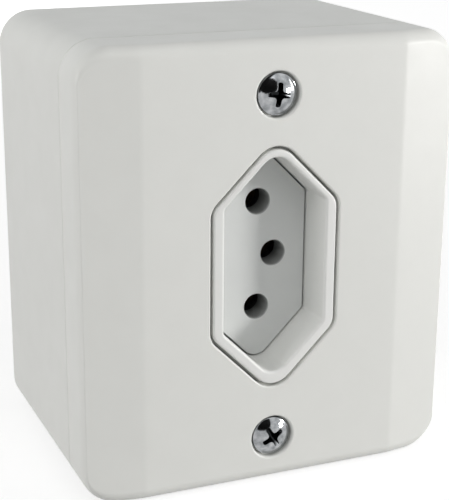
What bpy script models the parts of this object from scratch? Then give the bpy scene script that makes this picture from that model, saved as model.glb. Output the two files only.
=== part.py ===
"""Single wall socket in its own surface box: 10 A, three round pins in a hexagonal recess.

The pieces are modelled as the socket would lie on a bench, face up: X to the right, Y up the face and Z from
the wall towards the plug, with the wall face of the box at Z = 0. The empty called wall_socket then stands
the assembly up, so that in the world Z is up, the wall is the plane Y = 0 and the face looks along -Y.
All lengths are in metres.
"""

from math import atan2, ceil, cos, pi, radians, sin, sqrt, tan

import bmesh
import bpy
from mathutils import Matrix, Vector

# Fits between pieces
CLEARANCE = 0.0003
COLLAR_GAP = 0.0004
ROOT = 0.0002

# Surface box
BOX_WIDTH = 0.0675
BOX_HEIGHT = 0.0775
BOX_DEPTH = 0.0490
CORNER_RADIUS = 0.0060
BOX_WALL = 0.0024
BACK_WALL = 0.0024
MOUTH_CHAMFER = 0.0003
CABLE_ENTRY_WIDTH = 0.0200
CABLE_ENTRY_HEIGHT = 0.0130
CABLE_ENTRY_RADIUS = 0.0030
CABLE_ENTRY_CENTRE_Y = 0.0165
FIXING_SLOT_WIDTH = 0.0040
FIXING_SLOT_LENGTH = 0.0090
FIXING_SLOT_SPACING = 0.0420

# Front cover
COVER_DEPTH = 0.0100
COVER_WALL = 0.0024
PANEL_WIDTH = 0.0468
FACET_DROP = 0.0015
FRONT_EDGE_RADIUS = 0.0020
INNER_EDGE_RADIUS = 0.0006
TONGUE_LENGTH = 0.0020
REBATE_WALL = 0.0012

# Hexagonal collar, whose slanted sides stand at 45 degrees, and its recess
COLLAR_HALF_WIDTH = 0.01120
COLLAR_HALF_HEIGHT = 0.02228
COLLAR_APEX_RADIUS = 0.0040
COLLAR_SIDE_RADIUS = 0.0030
COLLAR_UPRIGHT_WALL = 0.00195
COLLAR_SLANT_WALL = 0.00153
COLLAR_EDGE_RADIUS = 0.00035
COLLAR_LIP_RADIUS = 0.0008
COLLAR_OVERLAP = 0.0020
RECESS_DEPTH = 0.0077
RECESS_RISE = 0.00045
RECESS_APEX_RADIUS = 0.00315
RECESS_SIDE_RADIUS = 0.00115
FLANGE_REACH = 0.0016
FLANGE_THICKNESS = 0.0016
SEAT_RIB_WALL = 0.0010

# Recess floor and pin holes
FACE_PLATE_THICKNESS = 0.0020
PIN_SPACING = 0.0190
EARTH_OFFSET = 0.0030
PIN_HOLE_RADIUS = 0.00220
PIN_HOLE_LEAD = 0.00030
PIN_LENGTH = 0.0190

# Contacts
CONTACT_RADIUS = 0.00255
CONTACT_BORE_RADIUS = 0.00195
CONTACT_FLARE = 0.00045
CONTACT_SETBACK = 0.0030
CONTACT_LENGTH = 0.0100
CONTACT_SLIT_WIDTH = 0.0007
CONTACT_SLIT_LENGTH = 0.0065
TAIL_THICKNESS = 0.0008
TAIL_WIDTH = 0.0038
TAIL_RISE = 0.0080

# Terminals
TERMINAL_LENGTH = 0.0060
TERMINAL_WALL = 0.0009
TERMINAL_THREAD_WALL = 0.0018
TERMINAL_HEIGHT = 0.0060
WIRE_HOLE_RADIUS = 0.0016
POCKET_WEB = 0.00035
TERMINAL_SCREW_RADIUS = 0.0015
TERMINAL_HEAD_RADIUS = 0.0025
TERMINAL_HEAD_HEIGHT = 0.0020
SCREW_SLOT_WIDTH = 0.0008
SCREW_SLOT_DEPTH = 0.0010
SIDE_COVER = 0.0005

# Contact block
BLOCK_DEPTH = 0.0172
TOWER_GAP = 0.0019
BLOCK_CORNER_RADIUS = 0.0020
EAR_THICKNESS = 0.0025
EAR_RADIUS = 0.0036

# Screws, posts and towers
COVER_SCREW_SPACING = 0.0603
COVER_SCREW_DROP = 0.0005
COVER_SCREW_RADIUS = 0.00175
COVER_SCREW_LENGTH = 0.0200
COVER_SCREW_HEAD_RADIUS = 0.0035
COVER_SCREW_RIM = 0.0008
COVER_SCREW_DOME = 0.0016
CROSS_REACH = 0.0021
CROSS_WIDTH = 0.0009
CROSS_DEPTH = 0.0014
CROSS_TAPER = 0.45
WELL_RADIUS = 0.0040
WELL_DEPTH = 0.0022
BOSS_WALL = 0.0010
TOWER_WIDTH = 0.0104
TOWER_CORNER_RADIUS = 0.0008
NUT_WIDTH = 0.0070
NUT_THICKNESS = 0.0026
NUT_SETBACK = 0.0026
MODULE_SCREW_RADIUS = 0.00145
MODULE_SCREW_HEAD_RADIUS = 0.0028
MODULE_SCREW_HEAD_HEIGHT = 0.0018
MODULE_SCREW_GRIP = 0.0090
POST_WALL = 0.00145

# Roundness of the model
ARC_STEP = radians(9)
HOLE_SIDES = 24
WIDE_SIDES = 32
FILLET_STEPS = 5
EDGE_STEPS = 2
LIP_STEPS = 3
DOME_STEPS = 6
SMOOTH_ANGLE = radians(35)

# A face looks forward or stands upright where its normal's part along Z is above or below these
FACING = 0.9
UPRIGHT = 0.1

# Overrun of a cutter past the face that it opens, and the share of half its width that rounds a slot's end
SMALL = 0.0010
ALMOST = 0.999

# Levels above the wall, worked out from the sizes above
FRONT_Z = BOX_DEPTH
SEAM_Z = FRONT_Z - COVER_DEPTH
MOUTH_Z = SEAM_Z - CLEARANCE
TONGUE_Z = SEAM_Z - TONGUE_LENGTH
REBATE_Z = TONGUE_Z - CLEARANCE
PANEL_BACK_Z = FRONT_Z - COVER_WALL
FLANGE_FRONT_Z = PANEL_BACK_Z - CLEARANCE
FLANGE_BACK_Z = FLANGE_FRONT_Z - FLANGE_THICKNESS
FLOOR_Z = FRONT_Z - RECESS_DEPTH
COLLAR_BACK_Z = FLOOR_Z - COLLAR_OVERLAP
PLATE_FRONT_Z = COLLAR_BACK_Z - CLEARANCE
PLATE_BACK_Z = PLATE_FRONT_Z - FACE_PLATE_THICKNESS
BLOCK_FRONT_Z = PLATE_BACK_Z - CLEARANCE
BLOCK_BACK_Z = BLOCK_FRONT_Z - BLOCK_DEPTH
EAR_BACK_Z = BLOCK_FRONT_Z - EAR_THICKNESS
POST_BACK_Z = BLOCK_FRONT_Z + CLEARANCE
PIN_END_Z = FLOOR_Z - PIN_LENGTH - CLEARANCE
SLEEVE_FRONT_Z = BLOCK_FRONT_Z - CONTACT_SETBACK
SLEEVE_BACK_Z = SLEEVE_FRONT_Z - CONTACT_LENGTH
TAIL_Z = SLEEVE_BACK_Z + CLEARANCE
TERMINAL_BACK_Z = TAIL_Z + TAIL_THICKNESS + POCKET_WEB + CLEARANCE
TERMINAL_MID_Z = TERMINAL_BACK_Z + TERMINAL_HEIGHT / 2
WELL_Z = FRONT_Z - WELL_DEPTH
HEAD_Z = WELL_Z + CLEARANCE
NUT_FRONT_Z = REBATE_Z - NUT_SETBACK

# Places across the face, worked out from the sizes above
RECESS_HALF_WIDTH = COLLAR_HALF_WIDTH - COLLAR_UPRIGHT_WALL
RECESS_HALF_HEIGHT = COLLAR_HALF_HEIGHT - COLLAR_SLANT_WALL * sqrt(2)
CONTACT_POCKET_RADIUS = CONTACT_RADIUS + CLEARANCE
TERMINAL_X = EARTH_OFFSET + CONTACT_POCKET_RADIUS + POCKET_WEB
TERMINAL_END_X = TERMINAL_X + TERMINAL_LENGTH
TERMINAL_HEAD_X = TERMINAL_END_X + CLEARANCE
TAIL_END_X = TERMINAL_X + TERMINAL_WALL + CLEARANCE + TAIL_THICKNESS
WINDOW_END_X = TERMINAL_END_X - TERMINAL_THREAD_WALL
WIRE_X = (TAIL_END_X + WINDOW_END_X) / 2
TERMINAL_DEPTH = TAIL_WIDTH + 2 * (CLEARANCE + TERMINAL_WALL)
BLOCK_HALF_WIDTH = TERMINAL_HEAD_X + TERMINAL_HEAD_HEIGHT + SIDE_COVER
BLOCK_HALF_HEIGHT = COVER_SCREW_SPACING / 2 - COVER_SCREW_DROP - TOWER_WIDTH / 2 - TOWER_GAP
POST_RADIUS = MODULE_SCREW_RADIUS + CLEARANCE + POST_WALL
EAR_X = BLOCK_HALF_WIDTH + POST_RADIUS + CLEARANCE
BOSS_RADIUS = WELL_RADIUS + BOSS_WALL

# Name, centre across the face and side of the terminal, for each pole
POLES = (
    ("line", 0.0, RECESS_RISE + PIN_SPACING / 2, -1),
    ("neutral", 0.0, RECESS_RISE - PIN_SPACING / 2, -1),
    ("earth", EARTH_OFFSET, RECESS_RISE, 1),
)
SIDES = (("left", -1), ("right", 1))

# Name, direction away from the middle and height of the cover screw, for each end
ENDS = (
    ("upper", 1, COVER_SCREW_SPACING / 2 - COVER_SCREW_DROP),
    ("lower", -1, -COVER_SCREW_SPACING / 2 - COVER_SCREW_DROP),
)


# Scene and materials

def clear_scene():
    for item in list(bpy.data.objects):
        bpy.data.objects.remove(item, do_unlink=True)


def new_collection(name):
    collection = bpy.data.collections.new(name)
    bpy.context.scene.collection.children.link(collection)
    return collection


def new_material(name, colour, roughness, metallic=0.0):
    material = bpy.data.materials.new(name)
    material.use_nodes = True
    shader = material.node_tree.nodes["Principled BSDF"]
    shader.inputs["Base Color"].default_value = (*colour, 1.0)
    shader.inputs["Roughness"].default_value = roughness
    shader.inputs["Metallic"].default_value = metallic
    return material


clear_scene()
PIECES = new_collection("wall_socket_pieces")
CUTTERS = new_collection("cutters")
STAND = bpy.data.objects.new("wall_socket", None)
STAND.rotation_euler = (pi / 2, 0.0, 0.0)
PIECES.objects.link(STAND)

WHITE_PLASTIC = new_material("white_gloss_plastic", (0.80, 0.81, 0.79), 0.32)
FLOOR_PLASTIC = new_material("recess_floor_plastic", (0.74, 0.75, 0.73), 0.40)
BLOCK_PLASTIC = new_material("contact_block_plastic", (0.10, 0.10, 0.105), 0.55)
BRASS = new_material("formed_brass", (0.80, 0.60, 0.27), 0.30, 1.0)
PLATED_STEEL = new_material("plated_steel", (0.72, 0.73, 0.74), 0.25, 1.0)


# Flat outlines

def rounded(corners, radii):
    """Closed outline that turns each corner with an arc of the given radius."""
    outline = []
    for index, corner in enumerate(corners):
        here = Vector(corner)
        back = (Vector(corners[index - 1]) - here).normalized()
        ahead = (Vector(corners[(index + 1) % len(corners)]) - here).normalized()
        half_angle = back.angle(ahead) / 2
        radius = radii[index]
        centre = here + (back + ahead).normalized() * (radius / sin(half_angle))
        reach = radius / tan(half_angle)
        start = here + back * reach - centre
        end = here + ahead * reach - centre
        first = atan2(start.y, start.x)
        turn = (atan2(end.y, end.x) - first + pi) % (2 * pi) - pi
        steps = max(2, ceil(abs(turn) / ARC_STEP - SMALL))
        for step in range(steps + 1):
            angle = first + turn * step / steps
            outline.append((centre.x + radius * cos(angle), centre.y + radius * sin(angle)))
    return outline


def rectangle(x0, x1, y0, y1, radius):
    corners = ((x1, y1), (x0, y1), (x0, y0), (x1, y0))
    return rounded(corners, (radius,) * 4)


def centred_rectangle(width, height, radius):
    return rectangle(-width / 2, width / 2, -height / 2, height / 2, radius)


def plain_rectangle(x0, x1, y0, y1):
    return [(x1, y1), (x0, y1), (x0, y0), (x1, y0)]


def box_outline(inset):
    """Outline of the box and the cover, moved in from their outside by inset."""
    return centred_rectangle(BOX_WIDTH - 2 * inset, BOX_HEIGHT - 2 * inset, CORNER_RADIUS - inset)


def hexagon(half_width, half_height, apex, side, middle=0.0):
    """Upright hexagon whose upper and lower sides slant at 45 degrees, its centre at the height middle."""
    shoulder = half_height - half_width
    corners = (
        (0.0, middle + half_height),
        (-half_width, middle + shoulder),
        (-half_width, middle - shoulder),
        (0.0, middle - half_height),
        (half_width, middle - shoulder),
        (half_width, middle + shoulder),
    )
    return rounded(corners, (apex, side, side, apex, side, side))


def collar_outline(offset):
    """Outside of the collar, moved out by offset, or in where that is negative."""
    return hexagon(
        COLLAR_HALF_WIDTH + offset,
        COLLAR_HALF_HEIGHT + offset * sqrt(2),
        COLLAR_APEX_RADIUS + offset,
        COLLAR_SIDE_RADIUS + offset,
    )


def recess_outline(offset):
    """Walls of the recess, moved out by offset, or in where that is negative."""
    return hexagon(
        RECESS_HALF_WIDTH + offset,
        RECESS_HALF_HEIGHT + offset * sqrt(2),
        RECESS_APEX_RADIUS + offset,
        RECESS_SIDE_RADIUS + offset,
        RECESS_RISE,
    )


def circle(x, y, radius):
    turns = [2 * pi * step / HOLE_SIDES for step in range(HOLE_SIDES)]
    return [(x + radius * cos(turn), y + radius * sin(turn)) for turn in turns]


def cross(reach, width):
    """Four pointed arms, as in the recess of a cross-head screw."""
    tip = width / 2
    arm = [(tip, tip), (reach - tip, tip), (reach, 0.0), (reach - tip, -tip)]
    outline = []
    for quarter in range(4):
        turn = Matrix.Rotation(-quarter * pi / 2, 2)
        outline += [tuple(turn @ Vector(point)) for point in arm]
    return outline


# Solids

def place(item, collection):
    """Puts a new object in its collection and stands it up with the assembly."""
    collection.objects.link(item)
    item.parent = STAND
    if collection is CUTTERS:
        item.hide_render = True
        item.display_type = "WIRE"
    return item


def prism(name, outlines, low, high, collection, along_y=False):
    """Straight solid from low to high on its outlines, of which the inner ones are holes.

    It stands along Z, or along -Y with its outline in X and Z where along_y is true.
    """
    curve = bpy.data.curves.new(name + "_outline", "CURVE")
    curve.dimensions = "2D"
    curve.fill_mode = "BOTH"
    curve.extrude = (high - low) / 2
    for outline in outlines:
        spline = curve.splines.new("POLY")
        spline.points.add(len(outline) - 1)
        for point, (x, y) in zip(spline.points, outline):
            point.co = (x, y, 0.0, 1.0)
        spline.use_cyclic_u = True
    guide = bpy.data.objects.new(name + "_outline", curve)
    bpy.context.scene.collection.objects.link(guide)
    middle = (high + low) / 2
    if along_y:
        guide.matrix_world = Matrix.Translation((0.0, middle, 0.0)) @ Matrix.Rotation(pi / 2, 4, "X")
    else:
        guide.matrix_world = Matrix.Translation((0.0, 0.0, middle))
    bpy.context.view_layer.update()
    mesh = bpy.data.meshes.new_from_object(guide.evaluated_get(bpy.context.evaluated_depsgraph_get()))
    mesh.name = name
    work = bmesh.new()
    work.from_mesh(mesh)
    bmesh.ops.remove_doubles(work, verts=work.verts, dist=1e-6)
    bmesh.ops.dissolve_limit(work, angle_limit=radians(0.5), verts=work.verts, edges=work.edges)
    bmesh.ops.recalc_face_normals(work, faces=work.faces)
    work.to_mesh(mesh)
    work.free()
    item = bpy.data.objects.new(name, mesh)
    place(item, collection)
    item.matrix_local = guide.matrix_world.copy()
    bpy.data.objects.remove(guide, do_unlink=True)
    return item


def cylinder(name, radius, low, high, collection, sides=HOLE_SIDES):
    """Round bar along Z from low to high."""
    mesh = bpy.data.meshes.new(name)
    work = bmesh.new()
    bmesh.ops.create_cone(
        work, cap_ends=True, segments=sides, radius1=radius, radius2=radius, depth=high - low
    )
    bmesh.ops.translate(work, verts=work.verts, vec=(0.0, 0.0, (high + low) / 2))
    work.to_mesh(mesh)
    work.free()
    return place(bpy.data.objects.new(name, mesh), collection)


def turned(name, profile, collection, sides=HOLE_SIDES):
    """Solid of revolution about Z: its profile runs down the outer side, from axis to axis."""
    mesh = bpy.data.meshes.new(name)
    points = [(radius, 0.0, level) for radius, level in profile]
    mesh.from_pydata(points, [(index, index + 1) for index in range(len(points) - 1)], [])
    item = place(bpy.data.objects.new(name, mesh), collection)
    screw = item.modifiers.new("turn", "SCREW")
    screw.steps = sides
    screw.render_steps = sides
    screw.use_merge_vertices = True
    screw.merge_threshold = 1e-6
    return item


def banded(name, sections, collection):
    """Ring through outlines of equal count, each at its own level, the last joined to the first."""
    work = bmesh.new()
    loops = [[work.verts.new((x, y, level)) for x, y in outline] for outline, level in sections]
    for near, far in zip(loops, loops[1:] + loops[:1]):
        for index in range(len(near)):
            after = (index + 1) % len(near)
            work.faces.new((near[index], near[after], far[after], far[index]))
    bmesh.ops.recalc_face_normals(work, faces=work.faces)
    mesh = bpy.data.meshes.new(name)
    work.to_mesh(mesh)
    work.free()
    return place(bpy.data.objects.new(name, mesh), collection)


def boolean(item, tool, operation):
    modifier = item.modifiers.new(tool.name, "BOOLEAN")
    modifier.operation = operation
    modifier.object = tool
    modifier.solver = "EXACT"


def cut(item, *tools):
    for tool in tools:
        boolean(item, tool, "DIFFERENCE")


def join(item, *tools):
    for tool in tools:
        boolean(item, tool, "UNION")


def round_edges(item, radius, segments, chosen):
    """Bevels the edges for which chosen, given an edge, is true."""
    work = bmesh.new()
    work.from_mesh(item.data)
    weight = work.edges.layers.float.new("bevel_weight_edge")
    for edge in work.edges:
        edge[weight] = 1.0 if chosen(edge) else 0.0
    work.to_mesh(item.data)
    work.free()
    bevel = item.modifiers.new("round_edges", "BEVEL")
    bevel.width = radius
    bevel.segments = segments
    bevel.limit_method = "WEIGHT"
    return bevel


def lies_at(edge, level):
    return all(abs(vertex.co.z - level) < 1e-6 for vertex in edge.verts)


def finish(item, material, smooth_angle=SMOOTH_ANGLE):
    item.data.materials.append(material)
    if smooth_angle and item.data.polygons:
        item.data.shade_smooth()
        item.data.set_sharp_from_angle(angle=smooth_angle)
    return item


# Surface box

def tower_outline(end, screw_y):
    """Block that carries a cover screw and grows out of the upper or lower wall."""
    half_width = TOWER_WIDTH / 2
    inner = screw_y - end * half_width
    outer = end * (BOX_HEIGHT - REBATE_WALL) / 2
    y0, y1 = sorted((inner, outer))
    return rectangle(-half_width, half_width, y0, y1, TOWER_CORNER_RADIUS)


def make_back_box():
    box = prism("back_box", [box_outline(0.0)], 0.0, MOUTH_Z, PIECES)
    half = MOUTH_Z / 2
    round_edges(box, MOUTH_CHAMFER, 1, lambda edge: lies_at(edge, half))
    cavity = prism("box_cavity", [box_outline(BOX_WALL)], BACK_WALL, MOUTH_Z + SMALL, CUTTERS)
    rebate = prism("box_rebate", [box_outline(REBATE_WALL)], REBATE_Z, MOUTH_Z + SMALL, CUTTERS)
    cut(box, cavity)
    for name, end, screw_y in ENDS:
        outline = tower_outline(end, screw_y)
        tower = prism(name + "_tower", [outline], BACK_WALL / 2, REBATE_Z + SMALL / 2, CUTTERS)
        join(box, tower)
    cut(box, rebate)
    for name, end, screw_y in ENDS:
        bore = cylinder(
            name + "_tower_bore",
            COVER_SCREW_RADIUS + CLEARANCE,
            HEAD_Z - COVER_SCREW_LENGTH - SMALL,
            REBATE_Z + SMALL,
            CUTTERS,
        )
        bore.location.y = screw_y
        slot_half = NUT_WIDTH / 2 + CLEARANCE
        y0, y1 = sorted((screw_y - end * TOWER_WIDTH, screw_y + end * slot_half))
        nut_slot = prism(
            name + "_nut_slot",
            [plain_rectangle(-slot_half, slot_half, y0, y1)],
            NUT_FRONT_Z - NUT_THICKNESS - CLEARANCE,
            NUT_FRONT_Z + CLEARANCE,
            CUTTERS,
        )
        cut(box, bore, nut_slot)
    entry_half = CABLE_ENTRY_HEIGHT / 2
    entry = prism(
        "cable_entry",
        [
            rectangle(
                -CABLE_ENTRY_WIDTH / 2,
                CABLE_ENTRY_WIDTH / 2,
                CABLE_ENTRY_CENTRE_Y - entry_half,
                CABLE_ENTRY_CENTRE_Y + entry_half,
                CABLE_ENTRY_RADIUS,
            )
        ],
        -SMALL,
        BACK_WALL + SMALL,
        CUTTERS,
    )
    cut(box, entry)
    for name, side in SIDES:
        x = side * FIXING_SLOT_SPACING / 2
        slot = prism(
            name + "_fixing_slot",
            [
                rectangle(
                    x - FIXING_SLOT_WIDTH / 2,
                    x + FIXING_SLOT_WIDTH / 2,
                    -FIXING_SLOT_LENGTH / 2,
                    FIXING_SLOT_LENGTH / 2,
                    FIXING_SLOT_WIDTH / 2 * ALMOST,
                )
            ],
            -SMALL,
            BACK_WALL + SMALL,
            CUTTERS,
        )
        cut(box, slot)
    return finish(box, WHITE_PLASTIC)


# Front cover

def faceted_blank(name, inset, low, high, collection):
    """Rounded block whose face has a flat middle and two side facets that slope back."""
    blank = prism(name, [box_outline(inset)], low, high, collection)
    offset = blank.location.z
    slope = FACET_DROP / ((BOX_WIDTH - PANEL_WIDTH) / 2)
    work = bmesh.new()
    work.from_mesh(blank.data)
    for _, side in SIDES:
        ridge = (side * PANEL_WIDTH / 2, 0.0, high - offset)
        normal = Vector((side * slope, 0.0, 1.0)).normalized()
        everything = work.verts[:] + work.edges[:] + work.faces[:]
        bmesh.ops.bisect_plane(
            work, geom=everything, dist=1e-7, plane_co=ridge, plane_no=normal, clear_outer=True
        )
        rim = [edge for edge in work.edges if edge.is_boundary]
        bmesh.ops.edgeloop_fill(work, edges=rim)
    bmesh.ops.recalc_face_normals(work, faces=work.faces)
    work.to_mesh(blank.data)
    work.free()
    return blank


def is_front_rim(edge):
    """True on the edges between the face and the upright sides."""
    tilts = [abs(face.normal.z) for face in edge.link_faces]
    at_front = edge.verts[0].co.z > 0.0
    return at_front and len(tilts) == 2 and max(tilts) > FACING and min(tilts) < UPRIGHT


def make_front_cover():
    cover = faceted_blank("front_cover", 0.0, SEAM_Z, FRONT_Z, PIECES)
    round_edges(cover, FRONT_EDGE_RADIUS, FILLET_STEPS, is_front_rim)
    hollow = faceted_blank("cover_hollow", COVER_WALL, SEAM_Z - SMALL, PANEL_BACK_Z, CUTTERS)
    round_edges(hollow, INNER_EDGE_RADIUS, EDGE_STEPS, is_front_rim)
    tongue = prism(
        "cover_tongue",
        [box_outline(REBATE_WALL + CLEARANCE), box_outline(COVER_WALL + ROOT)],
        TONGUE_Z,
        SEAM_Z + TONGUE_LENGTH,
        CUTTERS,
    )
    seat_rib = prism(
        "collar_seat_rib",
        [collar_outline(FLANGE_REACH + CLEARANCE + SEAT_RIB_WALL), collar_outline(FLANGE_REACH + CLEARANCE)],
        FLANGE_BACK_Z,
        PANEL_BACK_Z + COVER_WALL / 2,
        CUTTERS,
    )
    cut(cover, hollow)
    join(cover, tongue, seat_rib)
    for name, _, screw_y in ENDS:
        boss = cylinder(name + "_screw_boss", BOSS_RADIUS, TONGUE_Z, WELL_Z + SMALL, CUTTERS, WIDE_SIDES)
        boss.location.y = screw_y
        join(cover, boss)
    for name, side in SIDES:
        post = cylinder(name + "_post", POST_RADIUS, POST_BACK_Z, PANEL_BACK_Z + SMALL, CUTTERS)
        post.location.x = side * EAR_X
        join(cover, post)
    outline = collar_outline(COLLAR_GAP)
    opening = prism("collar_opening", [outline], PANEL_BACK_Z - SMALL, FRONT_Z + SMALL, CUTTERS)
    cut(cover, opening)
    for name, _, screw_y in ENDS:
        well = turned(
            name + "_screw_well",
            (
                (0.0, FRONT_Z + SMALL),
                (WELL_RADIUS, FRONT_Z + SMALL),
                (WELL_RADIUS, WELL_Z),
                (COVER_SCREW_RADIUS + CLEARANCE, WELL_Z),
                (COVER_SCREW_RADIUS + CLEARANCE, TONGUE_Z - SMALL),
                (0.0, TONGUE_Z - SMALL),
            ),
            CUTTERS,
            WIDE_SIDES,
        )
        well.location.y = screw_y
        cut(cover, well)
    for name, side in SIDES:
        hole = cylinder(
            name + "_post_hole",
            MODULE_SCREW_RADIUS + CLEARANCE,
            POST_BACK_Z - SMALL,
            EAR_BACK_Z + MODULE_SCREW_GRIP + CLEARANCE,
            CUTTERS,
        )
        hole.location.x = side * EAR_X
        cut(cover, hole)
    return finish(cover, WHITE_PLASTIC)


# Hexagonal collar and recess floor

def edge_steps(radius):
    """Points of a rounded edge, each as its distances in from the side and back from the face."""
    turns = [pi / 2 * step / LIP_STEPS for step in range(LIP_STEPS + 1)]
    return [(radius * (1 - cos(turn)), radius * (1 - sin(turn))) for turn in turns]


def make_socket_collar():
    """Ring about the recess with a rounded rim, held behind the cover by its flange."""
    outside = [(collar_outline(-inward), FRONT_Z - down) for inward, down in edge_steps(COLLAR_EDGE_RADIUS)]
    lip = [
        (recess_outline(outward), FRONT_Z - down)
        for outward, down in reversed(edge_steps(COLLAR_LIP_RADIUS))
    ]
    sections = [
        (collar_outline(0.0), FLANGE_FRONT_Z),
        *outside,
        *lip,
        (recess_outline(0.0), COLLAR_BACK_Z),
        (collar_outline(0.0), COLLAR_BACK_Z),
        (collar_outline(0.0), FLANGE_BACK_Z),
        (collar_outline(FLANGE_REACH), FLANGE_BACK_Z),
        (collar_outline(FLANGE_REACH), FLANGE_FRONT_Z),
    ]
    return finish(banded("socket_collar", sections, PIECES), WHITE_PLASTIC)


def pole_cutter(name, x, y, profile):
    cutter = turned(name, profile, CUTTERS)
    cutter.location.x = x
    cutter.location.y = y
    return cutter


def make_socket_face():
    plate_outline = centred_rectangle(2 * BLOCK_HALF_WIDTH, 2 * BLOCK_HALF_HEIGHT, BLOCK_CORNER_RADIUS)
    face = prism("socket_face", [plate_outline], PLATE_BACK_Z, PLATE_FRONT_Z, PIECES)
    floor = prism("recess_floor", [recess_outline(-CLEARANCE)], PLATE_BACK_Z + SMALL, FLOOR_Z, CUTTERS)
    join(face, floor)
    for name, x, y, _ in POLES:
        profile = (
            (0.0, FLOOR_Z + PIN_HOLE_LEAD),
            (PIN_HOLE_RADIUS + 2 * PIN_HOLE_LEAD, FLOOR_Z + PIN_HOLE_LEAD),
            (PIN_HOLE_RADIUS, FLOOR_Z - PIN_HOLE_LEAD),
            (PIN_HOLE_RADIUS, PLATE_BACK_Z - SMALL),
            (0.0, PLATE_BACK_Z - SMALL),
        )
        cut(face, pole_cutter(name + "_pin_hole", x, y, profile))
    return finish(face, FLOOR_PLASTIC)


# Contact block

def make_contact_block():
    outline = centred_rectangle(2 * BLOCK_HALF_WIDTH, 2 * BLOCK_HALF_HEIGHT, BLOCK_CORNER_RADIUS)
    block = prism("contact_block", [outline], BLOCK_BACK_Z, BLOCK_FRONT_Z, PIECES)
    reach = EAR_X + EAR_RADIUS
    ear_outline = centred_rectangle(2 * reach, 2 * EAR_RADIUS, EAR_RADIUS * ALMOST)
    ears = prism("fixing_ears", [ear_outline], EAR_BACK_Z, BLOCK_FRONT_Z, CUTTERS)
    join(block, ears)
    for name, side in SIDES:
        hole = cylinder(
            name + "_ear_hole",
            MODULE_SCREW_RADIUS + CLEARANCE,
            EAR_BACK_Z - SMALL,
            BLOCK_FRONT_Z + SMALL,
            CUTTERS,
        )
        hole.location.x = side * EAR_X
        cut(block, hole)
    for name, x, y, side in POLES:
        flare = CONTACT_POCKET_RADIUS + CONTACT_FLARE
        flare_z = SLEEVE_FRONT_Z - 2 * CONTACT_FLARE
        profile = (
            (0.0, BLOCK_FRONT_Z + SMALL),
            (flare, BLOCK_FRONT_Z + SMALL),
            (flare, flare_z - CLEARANCE),
            (CONTACT_POCKET_RADIUS, flare_z - CLEARANCE - CONTACT_FLARE),
            (CONTACT_POCKET_RADIUS, PIN_END_Z),
            (0.0, PIN_END_Z),
        )
        pocket = pole_cutter(name + "_contact_pocket", x, y, profile)
        x0, x1 = sorted((side * (TERMINAL_X - CLEARANCE), side * TERMINAL_HEAD_X))
        half = TERMINAL_DEPTH / 2 + CLEARANCE
        terminal_pocket = prism(
            name + "_terminal_pocket",
            [plain_rectangle(x0, x1, y - half, y + half)],
            TERMINAL_BACK_Z - CLEARANCE,
            BLOCK_FRONT_Z + SMALL,
            CUTTERS,
        )
        x0, x1 = sorted((x, side * (TAIL_END_X + CLEARANCE)))
        half = TAIL_WIDTH / 2 + CLEARANCE
        tail_slot = prism(
            name + "_tail_slot",
            [plain_rectangle(x0, x1, y - half, y + half)],
            TAIL_Z - CLEARANCE,
            BLOCK_FRONT_Z + SMALL,
            CUTTERS,
        )
        wire_hole = cylinder(
            name + "_wire_hole", WIRE_HOLE_RADIUS, BLOCK_BACK_Z - SMALL, TERMINAL_BACK_Z + SMALL, CUTTERS
        )
        wire_hole.location = (side * WIRE_X, y, 0.0)
        driver_hole = cylinder(
            name + "_driver_hole",
            TERMINAL_HEAD_RADIUS + CLEARANCE,
            TERMINAL_HEAD_X - SMALL,
            BLOCK_HALF_WIDTH + SMALL,
            CUTTERS,
        )
        driver_hole.location = (0.0, y, TERMINAL_MID_Z)
        driver_hole.rotation_euler = (0.0, side * pi / 2, 0.0)
        cut(block, pocket, terminal_pocket, tail_slot, wire_hole, driver_hole)
    return finish(block, BLOCK_PLASTIC)


# Contacts and terminals

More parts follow.
